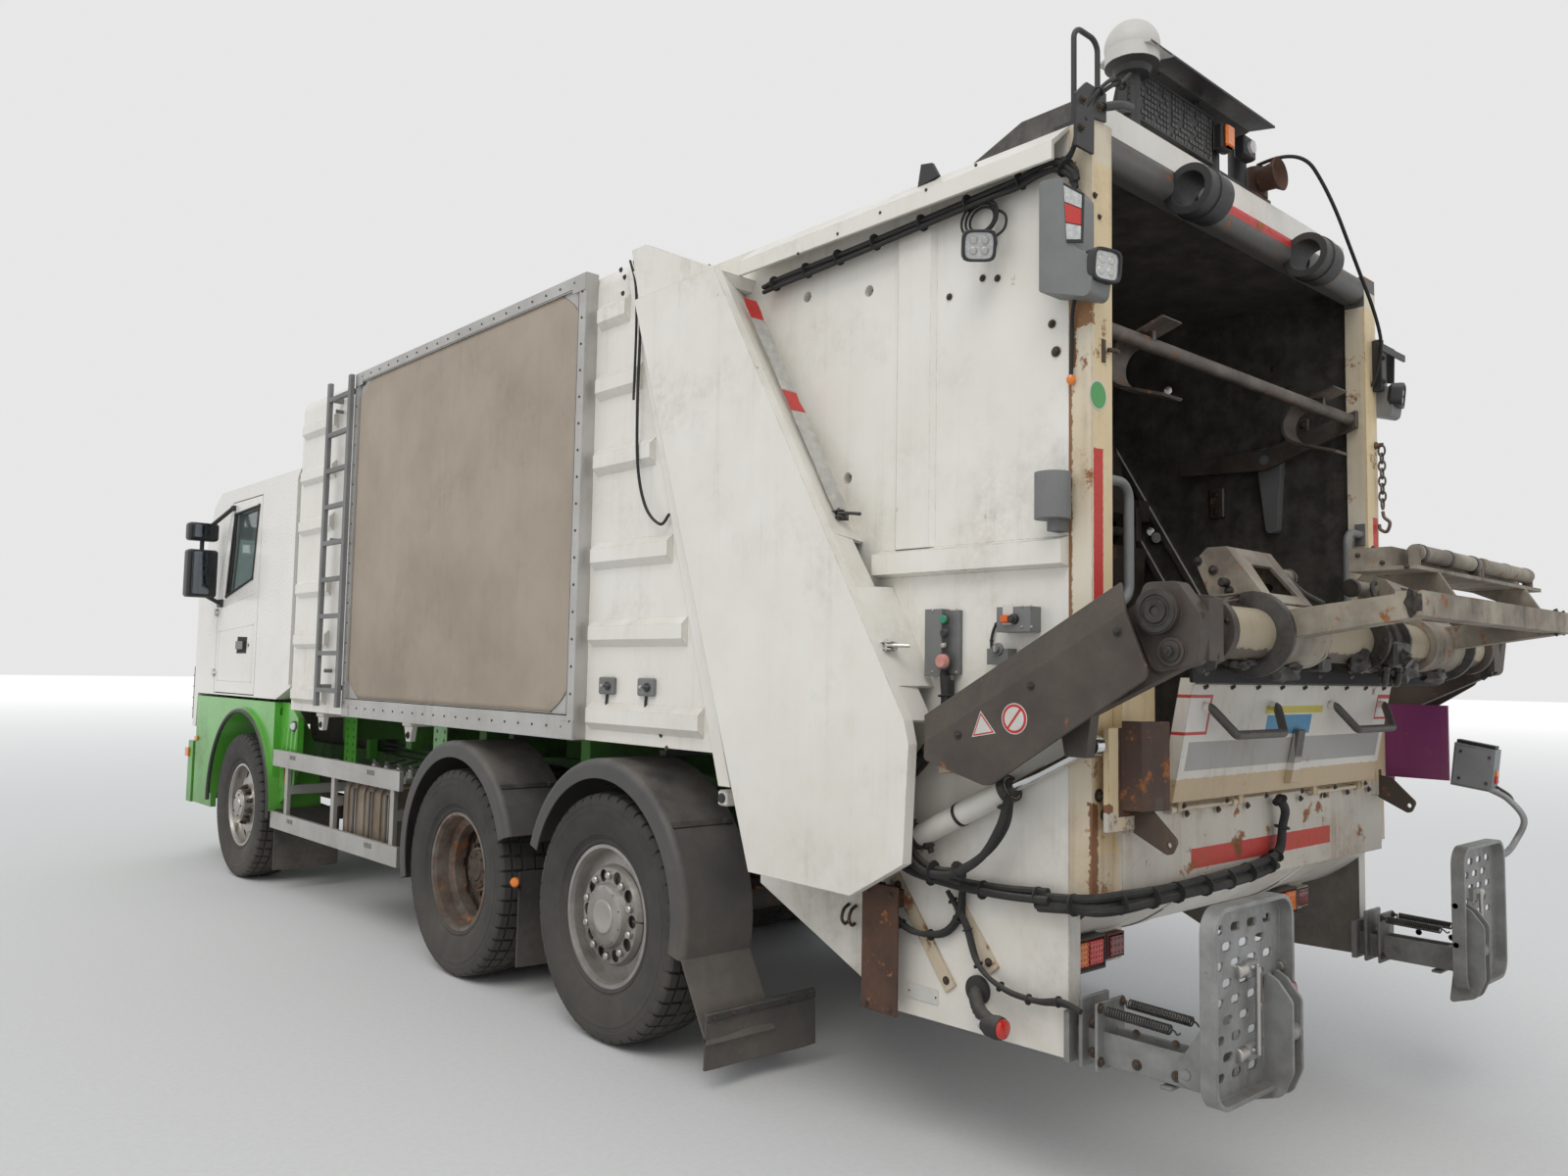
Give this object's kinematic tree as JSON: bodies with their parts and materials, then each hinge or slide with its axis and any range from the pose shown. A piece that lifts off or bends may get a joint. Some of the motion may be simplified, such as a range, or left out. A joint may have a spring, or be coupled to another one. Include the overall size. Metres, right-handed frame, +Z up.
{
  "type": "rear-loading garbage truck",
  "caption": "Three-axle garbage truck with a forward cab, closed load body, lifting tailgate with packer, bin lifter and folding rider steps.",
  "frame": {"origin": "on the road, midway along the overall length and width", "axes": "+X to the truck's left, +Y to its rear, +Z up"},
  "size_m": [2.94, 9.36, 3.766],
  "materials": {
    "frame_paint": "satin",
    "cast": "rough",
    "green_paint": "gloss",
    "lamp": "gloss",
    "black_plastic": "matt",
    "bare_aluminium": "satin",
    "ribbed_steel": "satin",
    "white_paint": "gloss",
    "grey_steel": "satin",
    "glass": "clear",
    "cab_trim": "matt",
    "worn_steel": "worn",
    "cream_paint": "worn",
    "galvanised": "rough",
    "chrome_rod": "polished",
    "tyre": "matt",
    "rim_steel": "satin"
  },
  "bodies": {
    "chassis": {"chassis_frame": "frame_paint", "engine_block": "cast", "front_axle": "cast", "rear_axles": "cast", "bumper": "green_paint", "front_lamps": "lamp", "front_fenders": "green_paint", "rear_mudguards": "black_plastic", "side_guards": "bare_aluminium", "tanks": "ribbed_steel", "load_body": "white_paint", "banner_frames": "bare_aluminium", "ladder": "grey_steel"},
    "cab": {"cab_shell": "white_paint", "windscreen": "glass", "grille": "black_plastic", "cab_interior": "cab_trim"},
    "door_left": {"door_left": "white_paint", "door_glass_left": "glass", "mirror_left": "black_plastic"},
    "door_right": {"door_right": "white_paint", "door_glass_right": "glass", "mirror_right": "black_plastic"},
    "knuckle_left": {"knuckle_left": "cast"},
    "knuckle_right": {"knuckle_right": "cast"},
    "ejector": {"ejector_plate": "worn_steel"},
    "tailgate": {"tailgate_shell": "white_paint", "side_covers": "white_paint", "rear_frame": "cream_paint", "gate_fittings": "grey_steel", "roof_gear": "black_plastic", "rear_lamps": "lamp", "lift_brackets": "cream_paint", "step_arms": "galvanised"},
    "flap": {"loading_flap": "white_paint"},
    "packer_carriage": {"packer_carriage": "worn_steel"},
    "packer_blade": {"packer_blade": "worn_steel"},
    "lid_opener": {"lid_opener": "worn_steel"},
    "lift_arms": {"lift_arms": "worn_steel"},
    "tilt_frame": {"tilt_frame": "cream_paint"},
    "lift_barrels": {"lift_barrels": "white_paint"},
    "lift_rods": {"lift_rods": "chrome_rod"},
    "step_left": {"step_left": "galvanised"},
    "step_right": {"step_right": "galvanised"},
    "wheel_front_left": {"tyre_front_left": "tyre", "rim_front_left": "rim_steel"},
    "wheel_front_right": {"tyre_front_right": "tyre", "rim_front_right": "rim_steel"},
    "wheel_drive_left": {"tyre_drive_left": "tyre", "rim_drive_left": "rim_steel"},
    "wheel_drive_right": {"tyre_drive_right": "tyre", "rim_drive_right": "rim_steel"},
    "wheel_tag_left": {"tyre_tag_left": "tyre", "rim_tag_left": "rim_steel"},
    "wheel_tag_right": {"tyre_tag_right": "tyre", "rim_tag_right": "rim_steel"}
  },
  "joints": [
    {"name": "cab_tilt", "type": "hinge", "parent": "chassis", "child": "cab", "pos_m": [0, -4.54, 1], "axis": [1, 0, 0], "range_deg": [0, 60]},
    {"name": "door_left_hinge", "type": "hinge", "parent": "cab", "child": "door_left", "pos_m": [1.212, -3.98, 1.6], "axis": [0, 0, 1], "range_deg": [-70, 0]},
    {"name": "door_right_hinge", "type": "hinge", "parent": "cab", "child": "door_right", "pos_m": [-1.212, -3.98, 1.6], "axis": [0, 0, 1], "range_deg": [0, 70]},
    {"name": "steer_left", "type": "hinge", "parent": "chassis", "child": "knuckle_left", "pos_m": [0.82, -3.225, 0.522], "axis": [0, 0, 1], "range_deg": [-35, 35]},
    {"name": "steer_right", "type": "hinge", "parent": "chassis", "child": "knuckle_right", "pos_m": [-0.82, -3.225, 0.522], "axis": [0, 0, 1], "range_deg": [-35, 35]},
    {"name": "tailgate_hinge", "type": "hinge", "parent": "chassis", "child": "tailgate", "pos_m": [0, 1.79, 3.345], "axis": [1, 0, 0], "range_deg": [0, 85]},
    {"name": "ejector_slide", "type": "slide", "parent": "chassis", "child": "ejector", "axis": [0, 1, 0], "range_m": [0, 2.85]},
    {"name": "packer_slide", "type": "slide", "parent": "tailgate", "child": "packer_carriage", "axis": [0, 0.512, -0.859], "range_m": [0, 0.75]},
    {"name": "packer_swing", "type": "hinge", "parent": "packer_carriage", "child": "packer_blade", "pos_m": [0, 2.85, 2.25], "axis": [1, 0, 0], "range_deg": [0, 62]},
    {"name": "opener_swing", "type": "hinge", "parent": "tailgate", "child": "lid_opener", "pos_m": [0, 3.49, 2.53], "axis": [1, 0, 0], "range_deg": [-10, 35]},
    {"name": "flap_hinge", "type": "hinge", "parent": "tailgate", "child": "flap", "pos_m": [0, 3.958, 1.164], "axis": [-1, 0, 0], "range_deg": [0, 95]},
    {"name": "lift_hinge", "type": "hinge", "parent": "tailgate", "child": "lift_arms", "pos_m": [0, 3.5, 1.32], "axis": [1, 0, 0], "range_deg": [-38, 10]},
    {"name": "tilt_hinge", "type": "hinge", "parent": "lift_arms", "child": "tilt_frame", "pos_m": [0, 4.24, 1.7], "axis": [1, 0, 0], "range_deg": [-25, 70]},
    {"name": "barrel_hinge", "type": "hinge", "parent": "tailgate", "child": "lift_barrels", "pos_m": [0, 3.23, 1.01], "axis": [1, 0, 0], "range_deg": [-20.5, 5.6]},
    {"name": "rod_slide", "type": "slide", "parent": "lift_barrels", "child": "lift_rods", "axis": [0, 0.8919, 0.4522], "range_m": [-0.14, 0.037]},
    {"name": "step_left_hinge", "type": "hinge", "parent": "tailgate", "child": "step_left", "pos_m": [0.9, 4.2, 0.51], "axis": [1, 0, 0], "range_deg": [-90, 0], "stiffness_Nm_per_rad": 25, "springref_deg": 28.65},
    {"name": "step_right_hinge", "type": "hinge", "parent": "tailgate", "child": "step_right", "pos_m": [-0.9, 4.2, 0.51], "axis": [1, 0, 0], "range_deg": [-90, 0], "stiffness_Nm_per_rad": 25, "springref_deg": 28.65},
    {"name": "spin_front_left", "type": "hinge", "parent": "knuckle_left", "child": "wheel_front_left", "pos_m": [1, -3.225, 0.522], "axis": [1, 0, 0], "continuous": true},
    {"name": "spin_front_right", "type": "hinge", "parent": "knuckle_right", "child": "wheel_front_right", "pos_m": [-1, -3.225, 0.522], "axis": [1, 0, 0], "continuous": true},
    {"name": "spin_drive_left", "type": "hinge", "parent": "chassis", "child": "wheel_drive_left", "pos_m": [1, 0.275, 0.522], "axis": [1, 0, 0], "continuous": true},
    {"name": "spin_drive_right", "type": "hinge", "parent": "chassis", "child": "wheel_drive_right", "pos_m": [-1, 0.275, 0.522], "axis": [1, 0, 0], "continuous": true},
    {"name": "spin_tag_left", "type": "hinge", "parent": "chassis", "child": "wheel_tag_left", "pos_m": [1, 1.63, 0.522], "axis": [1, 0, 0], "continuous": true},
    {"name": "spin_tag_right", "type": "hinge", "parent": "chassis", "child": "wheel_tag_right", "pos_m": [-1, 1.63, 0.522], "axis": [1, 0, 0], "continuous": true}
  ],
  "couplings": [
    {"joint": "steer_right", "follows": "steer_left", "ratio": 1},
    {"joint": "barrel_hinge", "follows": "lift_hinge", "ratio": 0.525},
    {"joint": "rod_slide", "follows": "lift_hinge", "m_per_rad": 0.205}
  ]
}
